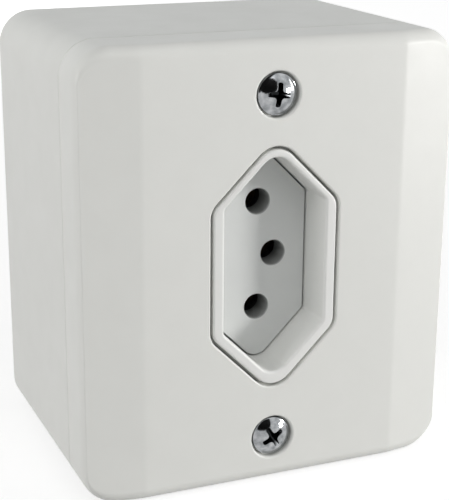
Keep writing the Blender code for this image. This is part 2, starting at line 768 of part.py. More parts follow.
def make_contact(name, x, y, side):
    """Brass sleeve with four spring fingers and a flared mouth, and the tail that its terminal grips."""
    flare_z = SLEEVE_FRONT_Z - 2 * CONTACT_FLARE
    sleeve = turned(
        name + "_contact",
        (
            (0.0, SLEEVE_FRONT_Z),
            (CONTACT_RADIUS + CONTACT_FLARE, SLEEVE_FRONT_Z),
            (CONTACT_RADIUS, flare_z),
            (CONTACT_RADIUS, SLEEVE_BACK_Z),
            (0.0, SLEEVE_BACK_Z),
        ),
        PIECES,
        WIDE_SIDES,
    )
    sleeve.location = (x, y, 0.0)
    root = abs(x) + CONTACT_BORE_RADIUS / 2
    leg = TAIL_END_X - TAIL_THICKNESS
    tail_outline = [
        (root, TAIL_Z),
        (TAIL_END_X, TAIL_Z),
        (TAIL_END_X, TAIL_Z + TAIL_RISE),
        (leg, TAIL_Z + TAIL_RISE),
        (leg, TAIL_Z + TAIL_THICKNESS),
        (root, TAIL_Z + TAIL_THICKNESS),
    ]
    tail = prism(
        name + "_tail",
        [[(side * tail_x, tail_z) for tail_x, tail_z in tail_outline]],
        y - TAIL_WIDTH / 2,
        y + TAIL_WIDTH / 2,
        CUTTERS,
        along_y=True,
    )
    bore = pole_cutter(
        name + "_contact_bore",
        x,
        y,
        (
            (0.0, SLEEVE_FRONT_Z + CONTACT_FLARE),
            (CONTACT_BORE_RADIUS + 1.5 * CONTACT_FLARE, SLEEVE_FRONT_Z + CONTACT_FLARE),
            (CONTACT_BORE_RADIUS, flare_z),
            (CONTACT_BORE_RADIUS, SLEEVE_BACK_Z - SMALL),
            (0.0, SLEEVE_BACK_Z - SMALL),
        ),
    )
    join(sleeve, tail)
    cut(sleeve, bore)
    reach = CONTACT_RADIUS + CONTACT_FLARE + SMALL
    half = CONTACT_SLIT_WIDTH / 2
    slits = (
        ("across", plain_rectangle(x - reach, x + reach, y - half, y + half)),
        ("along", plain_rectangle(x - half, x + half, y - reach, y + reach)),
    )
    for way, outline in slits:
        slit = prism(
            name + "_slit_" + way,
            [outline],
            SLEEVE_FRONT_Z - CONTACT_SLIT_LENGTH,
            SLEEVE_FRONT_Z + SMALL,
            CUTTERS,
        )
        cut(sleeve, slit)
    return finish(sleeve, BRASS)


def make_terminal(name, y, side):
    """Brass frame: the tail and the wire stand in its window and the screw comes in from the side."""
    outside = sorted((side * TERMINAL_X, side * TERMINAL_END_X))
    inside = sorted((side * (TERMINAL_X + TERMINAL_WALL), side * WINDOW_END_X))
    half = TERMINAL_DEPTH / 2
    window = half - TERMINAL_WALL
    terminal = prism(
        name + "_terminal",
        [
            plain_rectangle(*outside, y - half, y + half),
            plain_rectangle(*inside, y - window, y + window),
        ],
        TERMINAL_BACK_Z,
        TERMINAL_BACK_Z + TERMINAL_HEIGHT,
        PIECES,
    )
    hole = cylinder(
        name + "_terminal_hole",
        TERMINAL_SCREW_RADIUS + CLEARANCE,
        WINDOW_END_X - CLEARANCE,
        TERMINAL_END_X + CLEARANCE,
        CUTTERS,
    )
    hole.location = (0.0, y, TERMINAL_MID_Z)
    hole.rotation_euler = (0.0, side * pi / 2, 0.0)
    cut(terminal, hole)
    return finish(terminal, BRASS, None)


def make_terminal_screw(name, y, side):
    head_end = TERMINAL_HEAD_X + TERMINAL_HEAD_HEIGHT
    screw = turned(
        name + "_terminal_screw",
        (
            (0.0, head_end),
            (TERMINAL_HEAD_RADIUS, head_end),
            (TERMINAL_HEAD_RADIUS, TERMINAL_HEAD_X),
            (TERMINAL_SCREW_RADIUS, TERMINAL_HEAD_X),
            (TERMINAL_SCREW_RADIUS, TAIL_END_X + CLEARANCE),
            (0.0, TAIL_END_X + CLEARANCE),
        ),
        PIECES,
    )
    screw.location = (0.0, y, TERMINAL_MID_Z)
    screw.rotation_euler = (0.0, side * pi / 2, 0.0)
    reach = TERMINAL_HEAD_RADIUS + SMALL
    half = SCREW_SLOT_WIDTH / 2
    slot = prism(
        name + "_screw_slot",
        [plain_rectangle(-reach, reach, -half, half)],
        head_end - SCREW_SLOT_DEPTH,
        head_end + SMALL,
        CUTTERS,
    )
    turn = Matrix.Rotation(side * pi / 2, 4, "Y")
    slot.matrix_local = Matrix.Translation(screw.location) @ turn @ slot.matrix_local
    cut(screw, slot)
    return finish(screw, PLATED_STEEL)


# Fixings

def dome(radius, low, height):
    """Points of a shallow dome from its crown down to its rim."""
    sphere = (radius * radius + height * height) / (2 * height)
    centre = low + height - sphere
    points = []
    for step in range(DOME_STEPS + 1):
        reach = radius * step / DOME_STEPS
        points.append((reach, centre + sqrt(sphere * sphere - reach * reach)))
    return points


def cross_cutter(name, top):
    """Cross recess that narrows towards its bottom."""
    cutter = prism(name, [cross(CROSS_REACH, CROSS_WIDTH)], top - CROSS_DEPTH, top + SMALL, CUTTERS)
    for vertex in cutter.data.vertices:
        if vertex.co.z < 0.0:
            vertex.co.xy *= CROSS_TAPER
    return cutter


def make_cover_screw(name, screw_y):
    rim_z = HEAD_Z + COVER_SCREW_RIM
    tip_z = HEAD_Z - COVER_SCREW_LENGTH
    screw = turned(
        name + "_cover_screw",
        (
            *dome(COVER_SCREW_HEAD_RADIUS, rim_z, COVER_SCREW_DOME),
            (COVER_SCREW_HEAD_RADIUS, HEAD_Z),
            (COVER_SCREW_RADIUS, HEAD_Z),
            (COVER_SCREW_RADIUS, tip_z + COVER_SCREW_RADIUS / 2),
            (COVER_SCREW_RADIUS / 2, tip_z),
            (0.0, tip_z),
        ),
        PIECES,
        WIDE_SIDES,
    )
    screw.location.y = screw_y
    recess = cross_cutter(name + "_screw_recess", rim_z + COVER_SCREW_DOME)
    recess.location.y = screw_y
    cut(screw, recess)
    return finish(screw, PLATED_STEEL)


def make_captive_nut(name, screw_y):
    half = NUT_WIDTH / 2
    nut = prism(
        name + "_captive_nut",
        [
            plain_rectangle(-half, half, screw_y - half, screw_y + half),
            circle(0.0, screw_y, COVER_SCREW_RADIUS + CLEARANCE),
        ],
        NUT_FRONT_Z - NUT_THICKNESS,
        NUT_FRONT_Z,
        PIECES,
    )
    return finish(nut, PLATED_STEEL)


def make_module_screw(name, side):
    """Screw whose head faces the wall and whose shank climbs into the cover's post."""
    head_z = EAR_BACK_Z - CLEARANCE
    screw = turned(
        name + "_module_screw",
        (
            (0.0, head_z + MODULE_SCREW_GRIP),
            (MODULE_SCREW_RADIUS / 2, head_z + MODULE_SCREW_GRIP),
            (MODULE_SCREW_RADIUS, head_z + MODULE_SCREW_GRIP - MODULE_SCREW_RADIUS),
            (MODULE_SCREW_RADIUS, head_z),
            (MODULE_SCREW_HEAD_RADIUS, head_z),
            (MODULE_SCREW_HEAD_RADIUS, head_z - MODULE_SCREW_HEAD_HEIGHT),
            (0.0, head_z - MODULE_SCREW_HEAD_HEIGHT),
        ),
        PIECES,
    )
    screw.location.x = side * EAR_X
    return finish(screw, PLATED_STEEL)


make_back_box()
make_front_cover()
make_socket_collar()
make_socket_face()
make_contact_block()
for pole_name, pole_x, pole_y, pole_side in POLES:
    make_contact(pole_name, pole_x, pole_y, pole_side)
    make_terminal(pole_name, pole_y, pole_side)
    make_terminal_screw(pole_name, pole_y, pole_side)
for end_name, _, end_y in ENDS:
    make_cover_screw(end_name, end_y)
    make_captive_nut(end_name, end_y)
for side_name, side_sign in SIDES:
    make_module_screw(side_name, side_sign)
bpy.context.view_layer.update()
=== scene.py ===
"""Looks of the single wall socket: moulded cover and box, hexagonal collar, recess floor and plated screws.

Lengths are in metres in the part's own frame: X to the right, Z up, the wall at Y = 0, the face towards -Y.
A depth is measured from the front panel towards the wall.
"""

from math import atan2, copysign, cos, hypot, pi, radians, sin, sqrt, tan

import bmesh
import bpy
from mathutils import Matrix, Vector


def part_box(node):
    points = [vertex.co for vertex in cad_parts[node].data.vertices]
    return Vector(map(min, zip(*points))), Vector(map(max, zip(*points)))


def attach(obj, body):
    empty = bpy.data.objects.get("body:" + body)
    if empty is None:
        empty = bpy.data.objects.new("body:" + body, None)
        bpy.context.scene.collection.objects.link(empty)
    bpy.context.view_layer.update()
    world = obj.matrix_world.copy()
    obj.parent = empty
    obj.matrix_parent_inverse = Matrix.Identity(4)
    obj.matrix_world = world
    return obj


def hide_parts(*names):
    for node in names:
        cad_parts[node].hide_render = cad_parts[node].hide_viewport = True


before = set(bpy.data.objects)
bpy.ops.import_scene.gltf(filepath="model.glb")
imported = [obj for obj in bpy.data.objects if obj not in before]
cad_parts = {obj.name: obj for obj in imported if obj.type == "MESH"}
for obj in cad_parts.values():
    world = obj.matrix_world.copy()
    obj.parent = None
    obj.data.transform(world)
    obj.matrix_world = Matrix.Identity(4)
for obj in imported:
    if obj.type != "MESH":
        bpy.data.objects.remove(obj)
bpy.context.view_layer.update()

BODY = "root"
MM = 0.001

# Places taken from the frame
COVER_LOW, COVER_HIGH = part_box("front_cover")
BOX_LOW, BOX_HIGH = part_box("back_box")
COLLAR_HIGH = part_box("socket_collar")[1]
FACE_LOW, FACE_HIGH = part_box("socket_face")
FRONT_Y = COVER_LOW.y
HALF_WIDTH = COVER_HIGH.x
HALF_HEIGHT = COVER_HIGH.z
MOUTH_DEPTH = BOX_LOW.y - FRONT_Y
FLOOR_DEPTH = FACE_LOW.y - FRONT_Y
PLATE_BACK_DEPTH = FACE_HIGH.y - FRONT_Y
COLLAR_BACK_DEPTH = COLLAR_HIGH.y - FRONT_Y
WALL_DEPTH = BOX_HIGH.y - FRONT_Y
NUT_BOXES = [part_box("upper_captive_nut"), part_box("lower_captive_nut")]
SCREW_HEIGHTS = [(low.z + high.z) / 2 for low, high in NUT_BOXES]

# Fit between pieces
FIT_GAP = 0.3 * MM

# Cover
CORNER_RADIUS = 6.0 * MM
COVER_WALL = 2.4 * MM
FRONT_EDGE_RADIUS = 2.3 * MM
SIDE_EDGE_WIDTH = 0.6 * MM
INNER_EDGE_RADIUS = 0.6 * MM
SEAM_EDGE_RADIUS = 0.3 * MM
SEAM_GAP = 0.16 * MM
PANEL_HALF = 23.4 * MM
FACET_DROP = 1.5 * MM
RIDGE_SOFTNESS = 0.5 * MM
TONGUE_OUTSIDE = 1.5 * MM
TONGUE_INSIDE = 2.6 * MM
TONGUE_ROOT = 2.0 * MM
TONGUE_DEPTH = 12.0 * MM

# Posts behind the panel for the module's screws
POST_X = 18.5 * MM
POST_RADIUS = 3.2 * MM
POST_HOLE_RADIUS = 1.75 * MM
POST_HOLE_FRONT = 5.5 * MM

# Box on the wall, its cable entry and its fixing slots, both given by half their width and height
BOX_WALL = 2.4 * MM
BOX_INNER_RADIUS = 1.0 * MM
REBATE_WALL = 1.2 * MM
REBATE_DEPTH = 12.3 * MM
WALL_EDGE_RADIUS = 0.5 * MM
TOWER_HALF = 5.2 * MM
TOWER_CORNER_RADIUS = 0.8 * MM
NUT_SLOT_HALF = 3.8 * MM
NUT_SLOT_CORNER_RADIUS = 0.2 * MM
NUT_SLOT_FRONT = 14.6 * MM
NUT_SLOT_BACK = 17.8 * MM
CABLE_ENTRY = (10.0 * MM, 6.5 * MM)
CABLE_ENTRY_RADIUS = 3.0 * MM
CABLE_ENTRY_HEIGHT = 16.5 * MM
FIXING_SLOT = (2.0 * MM, 4.5 * MM)
FIXING_SLOT_RADIUS = 1.998 * MM
FIXING_SLOT_X = 21.0 * MM

# Collar and recess
COLLAR_HALF_WIDTH = 11.2 * MM
COLLAR_HALF_HEIGHT = 22.28 * MM
COLLAR_APEX_RADIUS = 4.0 * MM
COLLAR_SIDE_RADIUS = 3.0 * MM
COLLAR_GAP = 0.5 * MM
SHOULDER_REACH = 0.38 * MM
SHOULDER_DEPTH = 2.2 * MM
SHOULDER_RISE = 0.11 * MM
OPENING_EDGE_RADIUS = 0.35 * MM
COLLAR_EDGE_RADIUS = 0.35 * MM
RECESS_HALF_WIDTH = 9.25 * MM
RECESS_HALF_HEIGHT = 20.116 * MM
RECESS_APEX_RADIUS = 3.15 * MM
RECESS_SIDE_RADIUS = 1.15 * MM
RECESS_RISE = 0.45 * MM
RECESS_DRAFT = 0.08 * MM
LIP_RADIUS = 0.5 * MM
FLANGE_REACH = 1.6 * MM
FLANGE_FRONT_DEPTH = 2.7 * MM
FLANGE_BACK_DEPTH = 4.3 * MM
SEAT_RIB_WALL = 1.0 * MM

# Recess floor and its pin holes, whose walls carry painted shade that darkens from their mouths to their
# backs
PLATE_FRONT_DEPTH = 10.0 * MM
PLATE_CORNER_RADIUS = 2.0 * MM
PIN_HOLE_RADIUS = 2.2 * MM
PIN_HOLE_LEAD = 0.3 * MM
# Painted shade at the pin holes' mouths and at their backs
MOUTH_PAINTED_SHADE = 0.5
BACK_PAINTED_SHADE = 0.72
PIN_SPACING = 19.0 * MM
EARTH_OFFSET = 3.0 * MM
PIN_HOLES = (
    (0.0, RECESS_RISE + PIN_SPACING / 2),
    (EARTH_OFFSET, RECESS_RISE),
    (0.0, RECESS_RISE - PIN_SPACING / 2),
)

# Cover screws
SHANK_RADIUS = 1.75 * MM
SHANK_CORE_RADIUS = 1.4 * MM
SHANK_LENGTH = 20.0 * MM
SHANK_TIP = 1.2 * MM
THREAD_PITCH = 0.8 * MM
THREAD_TOP = 3.0 * MM
HEAD_RADIUS = 3.5 * MM
HEAD_RIM = 0.85 * MM
HEAD_DOME = 1.1 * MM
HEAD_TOP = HEAD_RIM + HEAD_DOME
HEAD_EDGE_RADIUS = 0.2 * MM
HEAD_EDGE_INSET = 0.08 * MM
HEAD_EDGE_RISE = 0.1 * MM
HEAD_FOOT_CHAMFER = 0.15 * MM
HEAD_SEAT_DEPTH = 1.5 * MM
WELL_RADIUS = 3.84 * MM
WELL_EDGE_RADIUS = 0.42 * MM
WELL_DEPTH = 1.52 * MM
BOSS_RADIUS = 5.0 * MM
UPPER_TURN = radians(-7)
LOWER_TURN = radians(30)

# Cross recess: its sections are shares of the reach and of the depth, from above the dome to the foot
CROSS_REACH = 2.25 * MM
CROSS_WIDTH = 0.95 * MM
CROSS_FILLET = 0.5 * MM
CROSS_TIP_ROUNDING = 0.7
CROSS_DEPTH = 2.0 * MM
CROSS_SECTIONS = ((1.12, -0.25), (1.0, 0.0), (0.66, 0.6), (0.3, 1.0))
CROSS_LEAST_WIDTH = 0.45
# Painted shade in the cross recess: it darkens within this reach and depth, fully at a small depth below the
# dome
PAINTED_SHADE_REACH = 1.1 * CROSS_REACH
PAINTED_SHADE_DEPTH = 1.1 * CROSS_DEPTH
FULL_PAINTED_SHADE_DEPTH = 0.3 * MM

# Roundness of the meshes
CORNER_STEPS = 24
SIDE_STEPS = 12
FILLET_STEPS = 10
EDGE_STEPS = 4
RIDGE_STEPS = 6
DOME_STEPS = 16
CROSS_TIP_STEPS = 3
CROSS_FILLET_STEPS = 4
ROUND_SIDES = 96
SCREW_SIDES = 64
RINGS_A_PITCH = 8
SHARP_ANGLE = radians(30)

# How far a cutter runs past the face it opens, and what is too small to tell apart
OVERRUN = 1.0 * MM
DEPTH_MARGIN = 0.01 * MM
CUT_TOLERANCE = 1e-7
MERGE_DISTANCE = 1e-6

# Most of a noise lies in this part of its range
NOISE_SPREAD = (0.3, 0.7)

# Plastic: size and detail of its waves, grain and gloss patches, and how high the waves and the grain stand
PLASTIC_IOR = 1.5
WAVES = (14 * MM, 1.0)
WAVE_HEIGHT = 0.05 * MM
GRAIN = (0.35 * MM, 3.0)
GRAIN_HEIGHT = 0.006 * MM
PATCHES = (6 * MM, 4.0)
PLASTIC_RELIEF = 0.5
GLOSS_SPREAD = (-0.03, 0.04)

# Metal: size and detail of its clouds and tool marks, and how high the marks stand
CLOUDS = (1.2 * MM, 3.0)
MARKS = (0.25 * MM, 2.0)
MARK_HEIGHT = 0.01 * MM
METAL_RELIEF = 0.4

# Mesh attributes that paint shade into a finish
PAINTED_HOLE_SHADE = "painted_hole_shade"
PAINTED_RECESS_SHADE = "painted_recess_shade"

# Camera of the photograph, and the height of its picture in pixels
PHOTO_HEIGHT = 500
FOCAL_PIXELS = 1327.4
CAMERA_PLACE = (-0.0902, -0.2403, 0.0696)
CAMERA_HEADING = radians(22.917)
CAMERA_PITCH = radians(-17.388)
CAMERA_ROLL = radians(0.43)
SENSOR_WIDTH = 36.0

# Studio: the floor lies a hair below the box, and its glow grows between the two distances of GLOW_REACH
AMBIENT = 0.3
AMBIENT_TONE = (0.985, 1.0, 1.005)
FLOOR_REACH = 3.0
FLOOR_TONE = 0.5
FLOOR_DROP = 0.05 * MM
NEAR_GLOW = 0.68
FAR_GLOW = 0.84
GLOW_REACH = (0.15, 1.1)

# Dark card, by half its width and height and its corner radius
CARD_PLACE = (-0.08, -0.45, 0.17)
CARD_SIZE = (0.23, 0.19, 0.16)
CARD_TONE = 0.015

# Lamps: each one's name, place, size and power
LAMP_TONE = (1.012, 1.0, 0.99)
LAMP_TARGET = (0.0, -0.03, 0.0)
LAMPS = (
    ("key_right", (0.5, -0.4, 0.02), 0.11, 2.05),
    ("side_right", (0.9, -0.15, 0.15), 0.5, 2.3),
    ("side_left", (-0.95, -0.1, 0.1), 0.5, 4.0),
    ("corner_left", (-0.35, -0.3, 0.35), 0.3, 0.28),
    ("front_high", (0.0, -0.8, 0.7), 0.5, 1.15),
    ("behind", (0.0, 0.7, 0.0), 0.1, 2.0),
)


# Outlines, as lists of (x, z)

def rounded(corners, radii, steps):
    """Closed outline with an arc of as many steps as given at each corner."""
    outline = []
    for index, corner in enumerate(corners):
        here = Vector(corner)
        back = (Vector(corners[index - 1]) - here).normalized()
        ahead = (Vector(corners[(index + 1) % len(corners)]) - here).normalized()
        half_angle = back.angle(ahead) / 2
        radius = radii[index]
        centre = here + (back + ahead).normalized() * (radius / sin(half_angle))
        reach = radius / tan(half_angle)
        start = here + back * reach - centre
        end = here + ahead * reach - centre
        first = atan2(start.y, start.x)
        turn = (atan2(end.y, end.x) - first + pi) % (2 * pi) - pi
        for step in range(steps[index] + 1):
            angle = first + turn * step / steps[index]
            outline.append((centre.x + radius * cos(angle), centre.y + radius * sin(angle)))
    return outline


def rectangle(half_width, half_height, radius, steps=CORNER_STEPS, x=0.0, z=0.0):
    """Rectangle with rounded corners about (x, z)."""
    corners = (
        (x + half_width, z + half_height),
        (x - half_width, z + half_height),
        (x - half_width, z - half_height),
        (x + half_width, z - half_height),
    )
    return rounded(corners, (radius,) * 4, (steps,) * 4)


def cover_outline(inset):
    """Outside of the cover and the box, drawn in by inset."""
    return rectangle(HALF_WIDTH - inset, HALF_HEIGHT - inset, CORNER_RADIUS - inset)


def front_outline(inset):
    """The cover's outline drawn in by inset above and below, and by less at the sharper sides."""
    straight = HALF_WIDTH - CORNER_RADIUS
    side_inset = inset * SIDE_EDGE_WIDTH / FRONT_EDGE_RADIUS
    stretch = (CORNER_RADIUS - side_inset) / (CORNER_RADIUS - inset)
    points = []
    for x, z in cover_outline(inset):
        beyond = max(abs(x) - straight, 0.0)
        points.append((copysign(abs(x) + beyond * (stretch - 1.0), x), z))
    return points


def hexagon(half_width, half_height, apex, side, middle=0.0):
    """Upright hexagon whose upper and lower sides slant at 45 degrees, its centre at the height middle."""
    shoulder = half_height - half_width
    corners = (
        (0.0, middle + half_height),
        (-half_width, middle + shoulder),
        (-half_width, middle - shoulder),
        (0.0, middle - half_height),
        (half_width, middle - shoulder),
        (half_width, middle + shoulder),
    )
    return rounded(corners, (apex, side, side) * 2, (CORNER_STEPS, SIDE_STEPS, SIDE_STEPS) * 2)


def collar_outline(offset, rise=0.0):
    """Outside of the collar, moved out by offset and up by rise."""
    return hexagon(
        COLLAR_HALF_WIDTH + offset,
        COLLAR_HALF_HEIGHT + offset * sqrt(2),
        COLLAR_APEX_RADIUS + offset,
        COLLAR_SIDE_RADIUS + offset,
        rise,
    )


def recess_outline(offset):
    """Walls of the recess, moved out by offset."""
    return hexagon(
        RECESS_HALF_WIDTH + offset,
        RECESS_HALF_HEIGHT + offset * sqrt(2),
        RECESS_APEX_RADIUS + offset,
        RECESS_SIDE_RADIUS + offset,
        RECESS_RISE,
    )


def circle(radius, x=0.0, z=0.0):
    """Circle about (x, z)."""
    turns = [2 * pi * step / ROUND_SIDES for step in range(ROUND_SIDES)]
    return [(x + radius * cos(turn), z + radius * sin(turn)) for turn in turns]


def cross(reach, width, fillet):
    """Four arms with rounded tips and hollow fillets between them, as in a cross-head screw."""
    half = width / 2
    corners = []
    for quarter in range(4):
        turn = Matrix.Rotation(quarter * pi / 2, 2)
        corners += [turn @ Vector(corner) for corner in ((reach, -half), (reach, half), (half, half))]
    tip = CROSS_TIP_ROUNDING * half
    steps = (CROSS_TIP_STEPS, CROSS_TIP_STEPS, CROSS_FILLET_STEPS)
    return rounded(corners, (tip, tip, fillet) * 4, steps * 4)


# Sections, as lists of (outline, depth)

def edge_sections(outline_at, radius, face_depth, steps=EDGE_STEPS, towards_wall=True):
    """Sections of a rounded edge: from the face to the side, or from the side to a face at the back."""
    sections = []
    for step in range(steps + 1):
        angle = pi / 2 * step / steps
        depth = radius * (1 - cos(angle))
        outline = outline_at(radius * (1 - sin(angle)))
        sections.append((outline, face_depth + (depth if towards_wall else -depth)))
    return sections if towards_wall else sections[::-1]


# Meshes

def add_object(name, data):
    """Object in the scene for a mesh, lamp or camera."""
    item = bpy.data.objects.new(name, data)
    bpy.context.scene.collection.objects.link(item)
    return item


def new_piece(name, work):
    """Turns a bmesh into an object whose faces look outward."""
    bmesh.ops.recalc_face_normals(work, faces=work.faces)
    mesh = bpy.data.meshes.new(name)
    work.to_mesh(mesh)
    work.free()
    return add_object(name, mesh)


def skin(name, loops_of_points, closed=False):
    """Skins loops of equal count: caps both ends, or joins the last loop to the first where closed."""
    work = bmesh.new()
    loops = [[work.verts.new(point) for point in points] for points in loops_of_points]
    pairs = list(zip(loops, loops[1:]))
    if closed:
        pairs.append((loops[-1], loops[0]))
    for near, far in pairs:
        count = len(near)
        for index in range(count):
            after = (index + 1) % count
            work.faces.new((near[index], near[after], far[after], far[index]))
    if not closed:
        work.faces.new(loops[0])
        work.faces.new(loops[-1])
    return new_piece(name, work)


def loft(name, sections, closed=False):
    """Skins outlines that lie at their depths."""
    return skin(name, [[(x, FRONT_Y + depth, z) for x, z in outline] for outline, depth in sections], closed)


def bar(name, outline, front, back):
    """Straight bar of one outline, from front to back."""
    return loft(name, [(outline, front), (outline, back)])


def tube(name, outside, inside, front, back):
    """Straight tube between two outlines, from front to back."""
    return loft(name, [(outside, front), (outside, back), (inside, back), (inside, front)], True)


def rounded_mouth(name, outline_at, front, back, edge):
    """Cutter for a hole from front to back: its mouth flares out in a small rounded edge."""
    mouth = edge_sections(outline_at, edge, front)
    return loft(name, [(outline_at(edge), front - OVERRUN), *mouth, (outline_at(0.0), back)])


def bake(piece):
    """Turns the piece and its modifiers into a plain mesh."""
    bpy.context.view_layer.update()
    shaped = piece.evaluated_get(bpy.context.evaluated_depsgraph_get())
    mesh = bpy.data.meshes.new_from_object(shaped)
    piece.modifiers.clear()
    piece.data = mesh


def combine(piece, tool, operation):
    """Applies one Boolean and removes its tool."""
    modifier = piece.modifiers.new(tool.name, "BOOLEAN")
    modifier.operation = operation
    modifier.object = tool
    modifier.solver = "EXACT"
    bake(piece)
    bpy.data.objects.remove(tool, do_unlink=True)


def smooth(piece):
    """Smooth shading between sharp edges, led by the large faces."""
    piece.data.shade_smooth()
    piece.data.set_sharp_from_angle(angle=SHARP_ANGLE)
    weighted = piece.modifiers.new("weighted_normals", "WEIGHTED_NORMAL")
    weighted.keep_sharp = True
    bake(piece)


def paint(piece, material):
    """Gives a piece one material in place of what it had."""
    piece.data.materials.clear()
    piece.data.materials.append(material)


def finished(piece, material, slot, *nodes):
    """Gives a piece its finish, puts it on the part's body and hides the nodes it stands for."""
    paint(piece, material)
    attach(piece, BODY)
    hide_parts(*nodes)


# Nodes, for materials and for Geometry Nodes alike

def feed(tree, socket, value):
    """Links an input to another node's output, or sets it to a plain value."""
    if isinstance(value, bpy.types.NodeSocket):
        tree.links.new(value, socket)
    else:
        socket.default_value = value


def add_node(tree, kind, given=None, **properties):
    """Adds a node, sets its properties and feeds the inputs that are given by name."""
    item = tree.nodes.new(kind)
    for name, value in properties.items():
        setattr(item, name, value)
    for label, value in (given or {}).items():
        feed(tree, item.inputs[label], value)
    return item


def number(tree, operation, *values):
    """One step of arithmetic, on sockets or plain numbers."""
    item = add_node(tree, "ShaderNodeMath", operation=operation)
    for socket, value in zip(item.inputs, values):
        feed(tree, socket, value)
    return item.outputs[0]


def ranged(tree, value, spread, results):
    """Maps a value that runs over spread to one that runs over results."""
    low, high = spread
    first, last = results
    given = {"Value": value, "From Min": low, "From Max": high, "To Min": first, "To Max": last}
    return add_node(tree, "ShaderNodeMapRange", given).outputs["Result"]


def tree_with_inputs(name, sockets):
    """New Geometry Nodes tree: itself, the sockets of what is given to it and those of its result."""
    tree = bpy.data.node_groups.new(name, "GeometryNodeTree")
    tree.interface.new_socket("Geometry", in_out="INPUT", socket_type="NodeSocketGeometry")
    for label in sockets:
        tree.interface.new_socket(label, in_out="INPUT", socket_type="NodeSocketFloat")
    tree.interface.new_socket("Material", in_out="INPUT", socket_type="NodeSocketMaterial")
    tree.interface.new_socket("Geometry", in_out="OUTPUT", socket_type="NodeSocketGeometry")
    return tree, add_node(tree, "NodeGroupInput").outputs, add_node(tree, "NodeGroupOutput").inputs


def own_places(tree):
    """X, Y and Z of each point of the incoming mesh."""
    position = add_node(tree, "GeometryNodeInputPosition").outputs["Position"]
    return add_node(tree, "ShaderNodeSeparateXYZ", {"Vector": position}).outputs


def vector(tree, **parts):
    """Vector of the given parts, the others 0."""
    return add_node(tree, "ShaderNodeCombineXYZ", parts).outputs["Vector"]


def shifted(tree, geometry, offset):
    """Geometry with each point moved by its own offset."""
    given = {"Geometry": geometry, "Offset": offset}
    return add_node(tree, "GeometryNodeSetPosition", given).outputs["Geometry"]


def close_tree(tree, given, result, geometry):
    """Ends a tree: instances made real, then the material."""
    real = add_node(tree, "GeometryNodeRealizeInstances", {"Geometry": geometry}).outputs["Geometry"]
    painted = add_node(tree, "GeometryNodeSetMaterial", {"Geometry": real, "Material": given["Material"]})
    tree.links.new(painted.outputs["Geometry"], result["Geometry"])


def grow(piece, tree, values):
    """Runs a tree on a piece with the values given by its inputs' names, and keeps the result as a mesh."""
    modifier = piece.modifiers.new(tree.name, "NODES")
    modifier.node_group = tree
    for item in tree.interface.items_tree:
        if item.item_type == "SOCKET" and item.in_out == "INPUT" and item.name in values:
            modifier[item.identifier] = values[item.name]
    bake(piece)


# Materials

def new_material(name):
    """New node material and its shader's inputs."""
    material = bpy.data.materials.new(name)
    material.use_nodes = True
    return material, material.node_tree.nodes["Principled BSDF"].inputs


class Finish:
    """Node-built material on Object coordinates, with its shader's own values set on its sockets."""

    def __init__(self, name, colour, roughness, metallic=0.0):
        """Starts as one even colour and roughness."""
        self.material, self.inputs = new_material(name)
        self.tree = self.material.node_tree
        self.inputs["Base Color"].default_value = (*colour, 1.0)
        self.inputs["Roughness"].default_value = roughness
        self.inputs["Metallic"].default_value = metallic
        self.place = add_node(self.tree, "ShaderNodeTexCoord").outputs["Object"]

    def noise(self, size, detail, stretch=(1.0, 1.0, 1.0)):
        """Noise whose grains are about as large as size, drawn out along an axis by stretch."""
        mapping = add_node(self.tree, "ShaderNodeMapping", {"Vector": self.place, "Scale": stretch})
        given = {"Vector": mapping.outputs["Vector"], "Scale": 1.0 / size, "Detail": detail}
        return add_node(self.tree, "ShaderNodeTexNoise", given).outputs["Fac"]

    def tint(self, factor, first, second):
        """Blends the base colour by a factor, from first to second, each a colour or a node's output."""
        given = {"Factor": factor, "A": first, "B": second}
        mix = add_node(self.tree, "ShaderNodeMix", given, data_type="RGBA")
        self.tree.links.new(mix.outputs["Result"], self.inputs["Base Color"])

    def mottle(self, factor, light, dark):
        """Blends the base colour from light to dark by a noise."""
        self.tint(ranged(self.tree, factor, NOISE_SPREAD, (0.0, 1.0)), (*light, 1.0), (*dark, 1.0))

    def darken(self, attribute, colour):
        """Blends the base colour towards a darker one by an attribute of the mesh, which paints shade where
        the attribute is high.
        """
        painted_shade = add_node(self.tree, "ShaderNodeAttribute", attribute_name=attribute)
        base = self.inputs["Base Color"].links[0].from_socket
        self.tint(painted_shade.outputs["Fac"], base, (*colour, 1.0))

    def roughen(self, factor, low, high):
        """Lets the roughness run from low to high by a noise."""
        self.tree.links.new(ranged(self.tree, factor, NOISE_SPREAD, (low, high)), self.inputs["Roughness"])

    def relief(self, strength, *layers):
        """Bumps stacked from coarse to fine: (noise, height in metres)."""
        below = {}
        for factor, height in layers:
            given = {"Height": factor, "Distance": height, "Strength": strength, **below}
            below = {"Normal": add_node(self.tree, "ShaderNodeBump", given).outputs["Normal"]}
        self.tree.links.new(below["Normal"], self.inputs["Normal"])


def moulded_plastic(name, light, dark, roughness):
    """Injection-moulded plastic: faint shrinkage waves, a fine spark-eroded grain and uneven gloss."""
    plastic = Finish(name, light, roughness)
    plastic.inputs["IOR"].default_value = PLASTIC_IOR
    waves = plastic.noise(*WAVES)
    grain = plastic.noise(*GRAIN)
    patches = plastic.noise(*PATCHES)
    plastic.mottle(patches, light, dark)
    plastic.roughen(patches, *(roughness + change for change in GLOSS_SPREAD))
    plastic.relief(PLASTIC_RELIEF, (waves, WAVE_HEIGHT), (grain, GRAIN_HEIGHT))
    return plastic


def metal(name, light, dark, low, high, stretch=(1.0, 1.0, 1.0)):
    """Worked metal: cloudy tone, gloss that varies and fine tool marks drawn out by stretch."""
    worked = Finish(name, light, low, 1.0)
    cloud = worked.noise(*CLOUDS)
    marks = worked.noise(*MARKS, stretch)
    worked.mottle(cloud, light, dark)
    worked.roughen(cloud, low, high)
    worked.relief(METAL_RELIEF, (marks, MARK_HEIGHT))
    return worked


